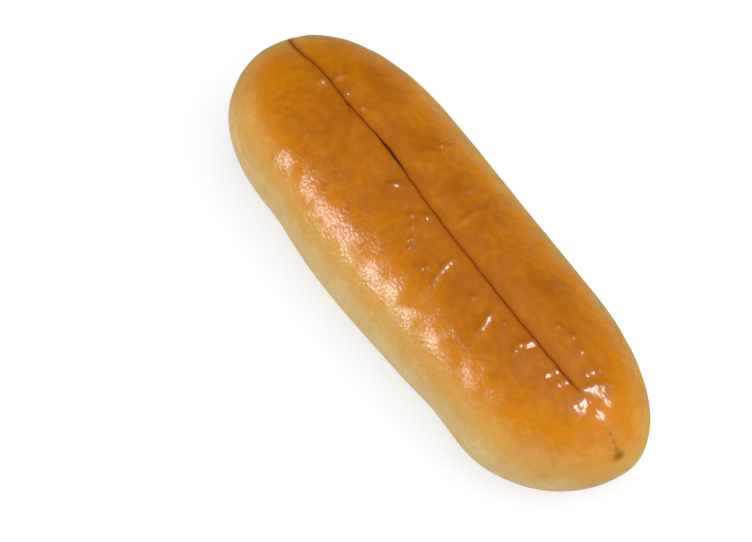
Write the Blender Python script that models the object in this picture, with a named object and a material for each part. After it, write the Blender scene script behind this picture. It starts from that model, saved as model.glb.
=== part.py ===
"""A hot dog bun, whole, with the shut lengthwise cut in its top.

The bun is one closed skin. Its rows are stations along the length and its columns run once round the
girth: from the floor of the cut up one wall of it, over the lip, down the side, under the flat base and
back up the other side. Past the ends of the cut its columns close up into one. Each tip is a single
point. Sizes are in millimetres, and turn into metres when the mesh is made. +X runs along the length, +Z
is up and the base lies at zero.
"""

from dataclasses import dataclass

import bmesh
import bpy
import numpy as np

MILLIMETRE = 0.001

# The loaf: a long body with two rounded ends, widest a little below its middle height
LENGTH = 152.0
HALF_WIDTH = 26.0
HEIGHT = 38.6
WIDEST_LEVEL = 16.5
TIP_LIFT = 3.0
BELOW_BASE = 3.2
TOP_FULLNESS = 2.1
UNDERSIDE_FULLNESS = 2.5
NEAR_CAP = 45.0
FAR_CAP = 47.0
PLAN_FULLNESS = 2.23
CAP_SHARE_SEEN_FROM_SIDE = 0.85
PROFILE_FULLNESS = 2.3
WIDTH_TAPER = -0.074

# The tips stand a little off the middle line, and only the last part of the length leans that way
NEAR_TIP_ASIDE = 0.6
FAR_TIP_ASIDE = -0.9
LEAN_START = 35.0

# The base is flat, and rolls into the side over this height
BASE_ROLL = 1.2

# The cut: its path seen from above as (x, y), from one end of it to the other
CUT_PATH = (
    (-76.0, 2.0),
    (-74.5, 3.5),
    (-67.0, 2.2),
    (-56.0, 2.3),
    (-40.0, 1.6),
    (-24.0, 2.0),
    (-5.0, 0.5),
    (15.0, -0.3),
    (40.0, -0.8),
    (55.0, -0.5),
    (68.0, 0.6),
    (76.0, 0.9),
)
CUT_START = -75.3
CUT_END = 71.0
CUT_FLOOR_LEVEL = 15.0
CUT_RISE_LENGTH = 16.0
CUT_GAP = 0.55
CUT_WIDE_GAP = 0.45
CUT_WIDE_PLACE = -27.0
CUT_WIDE_REACH = 9.0
CUT_FLOOR_GAP_SHARE = 0.7
CUT_END_GAP_SHARE = 0.5
CUT_FADE_LENGTH = 3.0

# The crust sinks towards the cut, and the lip on the +Y side stands a little proud
TROUGH_DEPTH = 0.8
TROUGH_REACH = 4.5
LIP_ROUNDING = 0.35
LIP_ROUNDING_REACH = 0.55
PROUD_LIP = 0.35
PROUD_LIP_REACH = 1.6

# The mesh: rows along the length, columns round the skin, and steps down each wall of the cut
ROWS = 78
COLUMNS = 52
WALL_STEPS = (0.12, 0.5, 1.0)
FIRST_COLUMN_TURN = 0.04
COLUMN_CROWDING = 0.78
BASE_STAGGER = 0.35
BASE_STAGGER_WAVES = 1.9
TIP_MARGIN = 0.004
SLOPE_STEP = 0.01

CRUST_COLOUR = (0.46, 0.17, 0.025, 1.0)
CRUST_ROUGHNESS = 0.35


@dataclass(frozen=True)
class Swell:
    """A soft rise of the crust, or a hollow where the height is below zero, centred on a point of it."""

    along: float
    degrees_from_top: float
    reach_along: float
    reach_around: float
    height: float


# Bulges and waists of the pale side, the trimmed near end, and last the small pit past the cut's end
SWELLS = (
    Swell(along=-38.0, degrees_from_top=-95.0, reach_along=12.0, reach_around=14.0, height=-1.9),
    Swell(along=-6.0, degrees_from_top=-95.0, reach_along=15.0, reach_around=14.0, height=0.5),
    Swell(along=31.0, degrees_from_top=-95.0, reach_along=9.0, reach_around=14.0, height=-0.9),
    Swell(along=50.0, degrees_from_top=-95.0, reach_along=9.0, reach_around=14.0, height=1.15),
    Swell(along=69.0, degrees_from_top=-70.0, reach_along=10.0, reach_around=16.0, height=-1.1),
    Swell(along=73.0, degrees_from_top=-135.0, reach_along=9.0, reach_around=12.0, height=-1.1),
    Swell(along=-64.0, degrees_from_top=-80.0, reach_along=10.0, reach_around=14.0, height=0.9),
    Swell(along=-20.0, degrees_from_top=75.0, reach_along=18.0, reach_around=14.0, height=0.3),
    Swell(along=73.2, degrees_from_top=1.0, reach_along=1.5, reach_around=1.5, height=-0.9),
)


def smooth_curve(x, points):
    """Read a smooth curve through the given points at x (cubic pieces with averaged slopes)."""
    xs, ys = np.array(points).T
    slopes = np.gradient(ys, xs)
    piece = np.clip(np.searchsorted(xs, x) - 1, 0, len(xs) - 2)
    span = xs[piece + 1] - xs[piece]
    t = np.clip((x - xs[piece]) / span, 0.0, 1.0)
    start = (1 + 2 * t) * (1 - t) ** 2 * ys[piece] + t * (1 - t) ** 2 * span * slopes[piece]
    end = t * t * (3 - 2 * t) * ys[piece + 1] + t * t * (t - 1) * span * slopes[piece + 1]
    return start + end


def end_cap(x, cap_share, fullness):
    """Share of the full size left at x: 1 along the middle, falling in a rounded cap to 0 at the tip."""
    cap = np.where(x > 0, NEAR_CAP, FAR_CAP) * cap_share
    into_cap = np.clip((np.abs(x) - (LENGTH / 2 - cap)) / cap, 0.0, 1.0)
    return (1.0 - into_cap**fullness) ** (1.0 / fullness)


def half_width(x):
    """Half the bun's width at x."""
    return HALF_WIDTH * (1.0 + WIDTH_TAPER * x / (LENGTH / 2)) * end_cap(x, 1.0, PLAN_FULLNESS)


def profile_share(x):
    """Share of the full height left at x."""
    return end_cap(x, CAP_SHARE_SEEN_FROM_SIDE, PROFILE_FULLNESS)


def widest_level(x):
    """Height of the widest part of the section at x, which climbs a little at the tips."""
    return WIDEST_LEVEL + TIP_LIFT * (1.0 - profile_share(x))


def rise(x):
    """Height of the top above the widest level at x."""
    return (HEIGHT - WIDEST_LEVEL) * profile_share(x)


def drop(x):
    """Depth of the underside below the widest level at x, before the base cuts it flat."""
    return (WIDEST_LEVEL + BELOW_BASE) * profile_share(x)


def middle_line(x):
    """Sideways place of the section's middle at x."""
    lean = np.clip((np.abs(x) - LEAN_START) / (LENGTH / 2 - LEAN_START), 0.0, 1.0) ** 2
    return np.where(x > 0, NEAR_TIP_ASIDE, FAR_TIP_ASIDE) * lean


def loaf(x, angle):
    """Points of the plain loaf at x and at an angle from the top, which grows towards +Y."""
    across = np.abs(np.sin(angle)) / half_width(x)
    above = np.cos(angle) > 0
    upward = np.abs(np.cos(angle)) / np.where(above, rise(x), drop(x))
    fullness = np.where(above, TOP_FULLNESS, UNDERSIDE_FULLNESS)
    radius = (across**fullness + upward**fullness) ** (-1.0 / fullness)
    y = middle_line(x) + radius * np.sin(angle)
    z = widest_level(x) + radius * np.cos(angle)
    return np.stack(np.broadcast_arrays(x, y, z), axis=-1)


def loaf_normals(x, angle):
    """Outward directions of the plain loaf, from small steps along it and round it."""
    reach = LENGTH / 2 * (1 - 1e-6)
    along = loaf(np.minimum(x + SLOPE_STEP, reach), angle) - loaf(np.maximum(x - SLOPE_STEP, -reach), angle)
    step = SLOPE_STEP / HALF_WIDTH
    around = loaf(x, angle + step) - loaf(x, angle - step)
    normals = np.cross(along, around)
    return normals / np.linalg.norm(normals, axis=-1, keepdims=True)


def cut_angle(x):
    """Angle from the top at which the loaf's surface meets the cut's path."""
    sideways = np.clip((smooth_curve(x, CUT_PATH) - middle_line(x)) / half_width(x), -0.6, 0.6)
    upward = (1.0 - np.abs(sideways) ** TOP_FULLNESS) ** (1.0 / TOP_FULLNESS)
    return np.arctan2(sideways * half_width(x), upward * rise(x))


def swollen_loaf(x, turn):
    """The loaf with its swells and hollows, at a turn round the girth from the cut."""
    angle = turn + cut_angle(x) * np.cos(turn / 2) ** 2
    points = loaf(x, angle)
    height = np.zeros(points.shape[:2])
    for swell in SWELLS:
        offset = points - loaf(np.array([[swell.along]]), np.array([[np.radians(swell.degrees_from_top)]]))
        along = offset[..., 0] / swell.reach_along
        around = np.hypot(offset[..., 1], offset[..., 2]) / swell.reach_around
        height += swell.height * np.exp(-(along**2) - around**2)
    return points + loaf_normals(x, angle) * height[..., None]


def part_the_crust(points, x, side):
    """Sink the crust towards the cut and open its lips, on the given side (+1 or -1) of it."""
    cut_y = points[:, :1, 1]
    away = np.abs(points[..., 1] - cut_y)
    on_top = np.clip((points[..., 2] - widest_level(x)) / rise(x), 0.0, 1.0)
    present = cut_presence(x) * on_top
    sink = TROUGH_DEPTH * np.exp(-((away / TROUGH_REACH) ** 2))
    sink += LIP_ROUNDING * np.exp(-away / LIP_ROUNDING_REACH)
    if side > 0:
        sink -= PROUD_LIP * np.exp(-((away / PROUD_LIP_REACH) ** 2))
    points[..., 2] -= sink * present
    points[..., 1] += side * mouth_gap(x) / 2 * np.exp(-away)
    return points


def cut_presence(x):
    """1 along the cut, fading to 0 past its ends."""
    before = np.clip((x - CUT_START) / CUT_FADE_LENGTH, 0.0, 1.0)
    after = np.clip((CUT_END - x) / CUT_FADE_LENGTH, 0.0, 1.0)
    return before * after


def is_cut(x):
    """Whether the cut runs through the section at x."""
    return (x > CUT_START) & (x < CUT_END)


def mouth_gap(x):
    """Width of the cut between its lips at x, which narrows towards its ends."""
    wide = CUT_WIDE_GAP * np.exp(-(((x - CUT_WIDE_PLACE) / CUT_WIDE_REACH) ** 2))
    share = CUT_END_GAP_SHARE + (1.0 - CUT_END_GAP_SHARE) * cut_presence(x)
    return np.where(is_cut(x), (CUT_GAP + wide) * share, 0.0)


def cut_depth(x, lip_level):
    """Depth of the cut below its lips: down to a level floor that climbs to the crust at both ends."""
    rising = np.minimum((x - CUT_START) / CUT_RISE_LENGTH, (CUT_END - x) / CUT_RISE_LENGTH)
    share = np.sqrt(np.clip(1.0 - (1.0 - np.clip(rising, 0.0, 1.0)) ** 2, 0.0, 1.0))
    return np.maximum(lip_level - CUT_FLOOR_LEVEL, 0.0) * share


def set_on_base(points):
    """Flatten what lies below the base's level, with a soft roll up into the side."""
    z = points[..., 2]
    roll = (z + BASE_ROLL) ** 2 / (4 * BASE_ROLL)
    points[..., 2] = np.where(z > BASE_ROLL, z, np.where(z < -BASE_ROLL, 0.0, roll))
    return points


def stagger_base(points):
    """Move the points of the flat base about within it, as straight lines of them would leave slivers."""
    flat = points[..., 2] == 0.0
    along = BASE_STAGGER * np.sin(BASE_STAGGER_WAVES * points[..., 1])
    across = BASE_STAGGER * np.sin(BASE_STAGGER_WAVES * points[..., 0])
    points[..., 0] += flat * along
    points[..., 1] += flat * across
    return points


def stations():
    """Places of the rows along X, spaced evenly along the outline seen from above."""
    fine = LENGTH / 2 * np.sin(np.linspace(-np.pi / 2, np.pi / 2, 2001))
    outline_length = np.concatenate(([0.0], np.cumsum(np.hypot(np.diff(fine), np.diff(half_width(fine))))))
    share = np.linspace(TIP_MARGIN, 1.0 - TIP_MARGIN, ROWS)
    return np.interp(share * outline_length[-1], outline_length, fine)[:, None]


def column_turns():
    """Turns of one side's columns, from the cut to the middle of the base, closest beside the cut."""
    share = np.linspace(0.0, 1.0, COLUMNS // 2 + 1)[1:-1]
    turns = np.pi * (COLUMN_CROWDING * share + (1.0 - COLUMN_CROWDING) * share**2)
    return np.concatenate(([0.0, FIRST_COLUMN_TURN], turns))[None, :]


def side_skin(x, side):
    """Columns of one side of the bun, from its lip to just short of the middle of the base."""
    return part_the_crust(swollen_loaf(x, side * column_turns()), x, side)


def cut_wall(x, lip, side):
    """Columns down one wall of the cut, from just below the lip to the edge of its narrow floor."""
    depth = cut_depth(x[:, 0], lip[:, 2])
    columns = []
    for share in WALL_STEPS:
        gap = mouth_gap(x[:, 0]) * (1.0 - (1.0 - CUT_FLOOR_GAP_SHARE) * share)
        middle_y = lip[:, 1] - side * mouth_gap(x[:, 0]) / 2
        columns.append(np.stack((x[:, 0], middle_y + side * gap / 2, lip[:, 2] - depth * share), axis=-1))
    return np.stack(columns, axis=1)


def bun_grid(x):
    """All points of the skin as rows by columns, with the columns closing into a ring."""
    right = side_skin(x, +1)
    left = side_skin(x, -1)
    base_middle = swollen_loaf(x, np.array([[np.pi]]))
    right_wall = cut_wall(x, right[:, 0], +1)
    left_wall = cut_wall(x, left[:, 0], -1)
    columns = (right_wall[:, ::-1], right, base_middle, left[:, ::-1], left_wall)
    return stagger_base(set_on_base(np.concatenate(columns, axis=1)))


def grid_index(x, rows, columns):
    """Number of the point at each place of the grid, with the cut's columns made one past its ends."""
    index = np.arange(rows * columns).reshape(rows, columns)
    lip = len(WALL_STEPS)
    past_the_cut = ~is_cut(x[:, 0])
    index[past_the_cut, :lip] = index[past_the_cut, lip, None]
    index[past_the_cut, columns - lip - 1:] = index[past_the_cut, lip, None]
    return index


def tip_points():
    """The two points where the rows end."""
    level = WIDEST_LEVEL + TIP_LIFT
    return np.array([[-LENGTH / 2, FAR_TIP_ASIDE, level], [LENGTH / 2, NEAR_TIP_ASIDE, level]])


def faces_between(index, far_tip, near_tip):
    """Faces between neighbouring rows and columns, and the fans that close the tips."""
    following = np.roll(index, -1, axis=1)
    between_rows = np.stack((index[:-1], index[1:], following[1:], following[:-1]), axis=-1).reshape(-1, 4)
    far_fan = np.stack((np.full(len(index[0]), far_tip), index[0], following[0]), axis=-1)
    near_fan = np.stack((np.full(len(index[0]), near_tip), following[-1], index[-1]), axis=-1)
    corners = between_rows.tolist() + far_fan.tolist() + near_fan.tolist()
    distinct = [tuple(dict.fromkeys(face)) for face in corners]
    return [face for face in distinct if len(face) > 2]


def bun_mesh():
    """Join the grid into a closed mesh with one point at each tip, centred over the origin."""
    x = stations()
    grid = bun_grid(x)
    rows, columns = grid.shape[:2]
    points = np.concatenate((grid.reshape(-1, 3), tip_points()))
    index = grid_index(x, rows, columns)
    faces = faces_between(index, rows * columns, rows * columns + 1)
    points[:, :2] -= (points.min(axis=0) + points.max(axis=0))[:2] / 2

    mesh = bpy.data.meshes.new("bun")
    mesh.from_pydata((points * MILLIMETRE).tolist(), [], faces)
    work = bmesh.new()
    work.from_mesh(mesh)
    bmesh.ops.delete(work, geom=[corner for corner in work.verts if not corner.link_faces], context="VERTS")
    work.to_mesh(mesh)
    work.free()
    mesh.shade_smooth()
    return mesh


def crust_material():
    """Glossy golden-brown crust."""
    material = bpy.data.materials.new("crust")
    material.use_nodes = True
    shader = material.node_tree.nodes["Principled BSDF"]
    shader.inputs["Base Color"].default_value = CRUST_COLOUR
    shader.inputs["Roughness"].default_value = CRUST_ROUGHNESS
    return material


def main():
    """Clear the scene and add the bun."""
    for item in list(bpy.data.objects):
        bpy.data.objects.remove(item, do_unlink=True)
    bun = bpy.data.objects.new("bun", bun_mesh())
    bun.data.materials.append(crust_material())
    bpy.context.scene.collection.objects.link(bun)


main()
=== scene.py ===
"""Looks of a hot dog bun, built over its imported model: crust, cut, studio light and camera.

The bun is one closed skin. Its rows are stations along the length and its columns run once round the
girth, from the floor of the cut over one lip, down the side, under the base and back. The body follows the
same rules and sizes as the part's solid, on a finer grid, and adds the crust's small relief. Sizes are in
millimetres and turn into metres when the mesh is made. +X runs along the length, +Z is up.
"""

import logging
import math
from collections.abc import Mapping
from dataclasses import dataclass
from enum import Enum
from itertools import product

import bpy
import numpy as np
from mathutils import Matrix, Vector


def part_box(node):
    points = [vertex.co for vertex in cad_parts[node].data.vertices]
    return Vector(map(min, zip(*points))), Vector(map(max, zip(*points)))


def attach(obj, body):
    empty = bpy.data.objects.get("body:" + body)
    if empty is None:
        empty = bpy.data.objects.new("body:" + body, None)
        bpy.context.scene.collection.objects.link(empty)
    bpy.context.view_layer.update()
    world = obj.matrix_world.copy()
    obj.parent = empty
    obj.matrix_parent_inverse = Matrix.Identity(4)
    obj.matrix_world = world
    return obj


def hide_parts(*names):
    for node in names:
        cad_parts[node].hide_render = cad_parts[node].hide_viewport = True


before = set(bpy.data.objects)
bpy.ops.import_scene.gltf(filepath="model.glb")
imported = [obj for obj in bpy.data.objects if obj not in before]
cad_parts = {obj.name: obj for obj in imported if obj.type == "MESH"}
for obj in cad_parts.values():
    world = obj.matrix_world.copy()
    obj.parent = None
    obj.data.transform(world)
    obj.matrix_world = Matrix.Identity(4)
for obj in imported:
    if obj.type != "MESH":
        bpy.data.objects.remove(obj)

MILLIMETRE = 0.001
PHOTO_WIDTH = 752
PHOTO_HEIGHT = 542

Array = np.ndarray
Colour = tuple[float, float, float]
Place = tuple[float, float]
Span = tuple[float, float]

WHITE: Colour = (1.0, 1.0, 1.0)
BLACK: Colour = (0.0, 0.0, 0.0)

NOISE_MIDDLE = 0.5
MIX_SHARE = 0
MIX_FIRST_COLOUR = 6
MIX_SECOND_COLOUR = 7
MIXED_COLOUR = 2

log = logging.getLogger("hot_dog_bun")


class Side(Enum):
    """The two sides of the cut, as the sign of Y there."""

    PROUD_LIP = 1
    PALE_FLANK = -1


def direction(azimuth: float, elevation: float) -> Array:
    """Give the unit vector from the bun towards a place round it.

    Args:
        azimuth: degrees round the bun, where 0 is towards -Y and 90 towards +X.
        elevation: degrees above the horizon.

    Returns:
        The vector (sin a cos e, -cos a cos e, sin e).
    """
    a = math.radians(azimuth)
    e = math.radians(elevation)
    return np.array([math.sin(a) * math.cos(e), -math.cos(a) * math.cos(e), math.sin(e)])


def smooth_curve(x: Array, points: tuple[Place, ...]) -> Array:
    """Read a smooth curve through given points.

    Args:
        x: places to read the curve at.
        points: (x, y) points in order of x.

    Returns:
        y at each x, by cubic pieces that meet with averaged slopes.
    """
    xs, ys = np.array(points).T
    slopes = np.gradient(ys, xs)
    piece = np.clip(np.searchsorted(xs, x) - 1, 0, len(xs) - 2)
    span = xs[piece + 1] - xs[piece]
    t = np.clip((x - xs[piece]) / span, 0.0, 1.0)
    start = (1 + 2 * t) * (1 - t) ** 2 * ys[piece] + t * (1 - t) ** 2 * span * slopes[piece]
    end = t * t * (3 - 2 * t) * ys[piece + 1] + t * t * (t - 1) * span * slopes[piece + 1]
    return start + end


def ease(value: Array, low: float, high: float) -> Array:
    """Rise smoothly from 0 at low to 1 at high.

    Args:
        value: numbers to read.
        low: where the result is 0.
        high: where the result is 1, above or below low.

    Returns:
        3 t squared minus 2 t cubed, with t the clipped share of the way.
    """
    t = np.clip((value - low) / (high - low), 0.0, 1.0)
    return t * t * (3 - 2 * t)


def stand(name: str, data: bpy.types.ID) -> bpy.types.Object:
    """Make an object of a mesh, a light or a camera and put it in the scene."""
    made = bpy.data.objects.new(name, data)
    bpy.context.scene.collection.objects.link(made)
    return made


@dataclass(frozen=True)
class SkinNoise:
    """Smooth unevenness over space, the same at each run."""

    seed: int
    cells: int = 64

    def read(self, points: Array, wavelength: float) -> Array:
        """Read the unevenness at points.

        Args:
            points: places in millimetres, the last axis being x, y and z.
            wavelength: size of one cell of the lattice, in millimetres.

        Returns:
            Values from -1 to 1: the random numbers at a cell's eight corners, blended by quintic weights.
        """
        table = np.random.default_rng(self.seed).uniform(-1.0, 1.0, (self.cells,) * 3)
        place = points / wavelength
        cell = np.floor(place).astype(int)
        t = place - cell
        weight = t**3 * (t * (6 * t - 15) + 10)
        total = np.zeros(points.shape[:-1])
        for corner in product((0, 1), repeat=3):
            share = np.where(corner, weight, 1 - weight).prod(axis=-1)
            x, y, z = np.moveaxis((cell + np.array(corner)) % self.cells, -1, 0)
            total += table[x, y, z] * share
        return total


@dataclass(frozen=True)
class Loaf:
    """The plain body: long, with two rounded ends, widest a little below its middle height."""

    length: float = 152.0
    half_width_full: float = 26.0
    height: float = 38.6
    widest_full: float = 16.5
    tip_lift: float = 3.0
    below_base: float = 3.2
    top_fullness: float = 2.1
    underside_fullness: float = 2.5
    near_cap: float = 45.0
    far_cap: float = 47.0
    plan_fullness: float = 2.23
    cap_share_seen_from_side: float = 0.85
    profile_fullness: float = 2.3
    width_taper: float = -0.074
    near_tip_aside: float = 0.6
    far_tip_aside: float = -0.9
    lean_start: float = 35.0
    slope_step: float = 0.01
    tip_clearance: float = 1e-6

    def end_cap(self, x: Array, cap_share: float, fullness: float) -> Array:
        """Share of the full size left at x.

        Args:
            x: places along the length.
            cap_share: share of the caps' lengths over which the size falls.
            fullness: power of the rounding; more is fuller.

        Returns:
            1 along the middle, and (1 - u^f)^(1/f) with u the share of the way into the cap.
        """
        cap = np.where(x > 0, self.near_cap, self.far_cap) * cap_share
        into_cap = np.clip((np.abs(x) - (self.length / 2 - cap)) / cap, 0.0, 1.0)
        return (1.0 - into_cap**fullness) ** (1.0 / fullness)

    def half_width(self, x: Array) -> Array:
        """Half the bun's width at x: the full one, tapered along the length and closed by the caps."""
        taper = 1.0 + self.width_taper * x / (self.length / 2)
        return self.half_width_full * taper * self.end_cap(x, 1.0, self.plan_fullness)

    def profile_share(self, x: Array) -> Array:
        """Share of the full height left at x."""
        return self.end_cap(x, self.cap_share_seen_from_side, self.profile_fullness)

    def widest_level(self, x: Array) -> Array:
        """Height of the widest part of the section at x, which climbs a little at the tips."""
        return self.widest_full + self.tip_lift * (1.0 - self.profile_share(x))

    def rise(self, x: Array) -> Array:
        """Height of the top above the widest level at x."""
        return (self.height - self.widest_full) * self.profile_share(x)

    def drop(self, x: Array) -> Array:
        """Depth of the underside below the widest level at x, before the base cuts it flat."""
        return (self.widest_full + self.below_base) * self.profile_share(x)

    def middle_line(self, x: Array) -> Array:
        """Sideways place of the section's middle at x, which leans only near the tips."""
        lean = np.clip((np.abs(x) - self.lean_start) / (self.length / 2 - self.lean_start), 0.0, 1.0) ** 2
        return np.where(x > 0, self.near_tip_aside, self.far_tip_aside) * lean

    def points(self, x: Array, angle: Array) -> Array:
        """Points of the plain loaf.

        Args:
            x: places along the length.
            angle: angles from the top in radians, growing towards +Y.

        Returns:
            Points at the radius (across^f + upward^f)^(-1/f) from the section's middle.
        """
        across = np.abs(np.sin(angle)) / self.half_width(x)
        above = np.cos(angle) > 0
        upward = np.abs(np.cos(angle)) / np.where(above, self.rise(x), self.drop(x))
        fullness = np.where(above, self.top_fullness, self.underside_fullness)
        radius = (across**fullness + upward**fullness) ** (-1.0 / fullness)
        y = self.middle_line(x) + radius * np.sin(angle)
        z = self.widest_level(x) + radius * np.cos(angle)
        return np.stack(np.broadcast_arrays(x, y, z), axis=-1)

    def normals(self, x: Array, angle: Array) -> Array:
        """Outward directions of the plain loaf.

        Args:
            x: places along the length.
            angle: angles from the top in radians.

        Returns:
            Unit vectors, the cross product of small steps along the loaf and round it.
        """
        reach = self.length / 2 * (1 - self.tip_clearance)
        after = self.points(np.minimum(x + self.slope_step, reach), angle)
        before = self.points(np.maximum(x - self.slope_step, -reach), angle)
        step = self.slope_step / self.half_width_full
        around = self.points(x, angle + step) - self.points(x, angle - step)
        normals = np.cross(after - before, around)
        return normals / np.linalg.norm(normals, axis=-1, keepdims=True)

    def tips(self) -> Array:
        """The two points where the rows end, the far one first."""
        level = self.widest_full + self.tip_lift
        half = self.length / 2
        return np.array([[-half, self.far_tip_aside, level], [half, self.near_tip_aside, level]])


@dataclass(frozen=True)
class Patch:
    """A soft swelling, hollow or share of a finish, centred at an angle from the top towards +Y."""

    along: float
    degrees_from_top: float
    reach_along: float
    reach_around: float
    value: float

    def read(self, points: Array, loaf: Loaf) -> Array:
        """What it gives: its value times a bell, exp(-(along/reach)^2 - (around/reach)^2).

        Args:
            points: points of the skin.
            loaf: the plain loaf, which places the centre.

        Returns:
            Values at the points.
        """
        angle = np.array([[np.radians(self.degrees_from_top)]])
        offset = points - loaf.points(np.array([[self.along]]), angle)
        along = offset[..., 0] / self.reach_along
        around = np.hypot(offset[..., 1], offset[..., 2]) / self.reach_around
        return self.value * np.exp(-(along**2) - around**2)


@dataclass(frozen=True)
class Crease:
    """A line pressed into the top of the crust, with a fold raised along one side of it."""

    path: tuple[Place, ...]
    width: float
    depth: float
    fold: float
    bead_length: float = 0.0
    beading: float = 0.15
    fold_offset: float = 1.5
    fading_share: float = 0.25

    def lift(self, points: Array, lowest: float) -> Array:
        """Height that it adds to the skin.

        Args:
            points: points of the skin.
            lowest: level below which the crease isn't pressed.

        Returns:
            Minus depth times a bell of the distance from the path, plus fold times a bell some widths to
            the path's right, which may swell into beads. Both fade out over a share of the path's ends.
        """
        place = points[..., :2]
        nearest = np.full(place.shape[:-1], np.inf)
        signed = np.zeros(place.shape[:-1])
        travelled = np.zeros(place.shape[:-1])
        run = 0.0
        for start, end in zip(self.path[:-1], self.path[1:]):
            step = np.subtract(end, start)
            length = float(np.hypot(*step))
            along = step / length
            offset = place - np.array(start)
            t = np.clip(offset @ along, 0.0, length)
            away = offset - t[..., None] * along
            distance = np.hypot(away[..., 0], away[..., 1])
            closer = distance < nearest
            right_hand = np.sign(offset[..., 0] * along[1] - offset[..., 1] * along[0])
            nearest = np.where(closer, distance, nearest)
            signed = np.where(closer, distance * right_hand, signed)
            travelled = np.where(closer, run + t, travelled)
            run += length
        fading = self.fading_share * run
        fade = ease(travelled, 0.0, fading) * ease(travelled, run, run - fading)
        fade *= points[..., 2] > lowest
        bead = np.ones_like(travelled)
        if self.bead_length:
            bead = 1.0 - self.beading + self.beading * np.cos(2 * np.pi * travelled / self.bead_length)
        pressed = self.depth * np.exp(-((nearest / self.width) ** 2))
        beside = (signed - self.fold_offset * self.width) / self.width
        raised = self.fold * bead * np.exp(-(beside**2))
        return (raised - pressed) * fade


@dataclass(frozen=True)
class Spot:
    """A soft spot of the crust, round or longer one way: a height, or a share of a finish."""

    along: float
    aside: float
    reach: float
    value: float
    stretch: float = 1.0
    heading: float = 0.0

    def read(self, points: Array) -> Array:
        """What the spot gives at points.

        Args:
            points: points of the skin, of which only x and y count.

        Returns:
            Its value times exp(-d squared), d being the distance from its centre over its reach, which is
            longer by the stretch along its heading.
        """
        x = points[..., 0] - self.along
        y = points[..., 1] - self.aside
        turn = math.radians(self.heading)
        lengthwise = (x * math.cos(turn) + y * math.sin(turn)) / (self.reach * self.stretch)
        crosswise = (y * math.cos(turn) - x * math.sin(turn)) / self.reach
        return self.value * np.exp(-(lengthwise**2) - crosswise**2)


@dataclass(frozen=True)
class Tuck:
    """A line along the pale flank where the crust turns in, with a soft roll below it."""

    path: tuple[Place, ...]
    width: float
    depth: float
    roll: float
    fade_length: float = 4.0
    roll_offset: float = 1.8

    def lift(self, points: Array) -> Array:
        """Height that it adds to the skin.

        Args:
            points: points of the skin.

        Returns:
            Minus depth times a bell of the height over the path, plus roll times a bell some widths below
            it, on the pale side only and fading at the path's ends.
        """
        x = points[..., 0]
        offset = (points[..., 2] - smooth_curve(x, self.path)) / self.width
        first, last = self.path[0][0], self.path[-1][0]
        fade = ease(x, first, first + self.fade_length) * ease(x, last, last - self.fade_length)
        fade *= points[..., 1] < 0
        rolled = self.roll * np.exp(-((offset + self.roll_offset) ** 2))
        return (rolled - self.depth * np.exp(-(offset**2))) * fade


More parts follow.
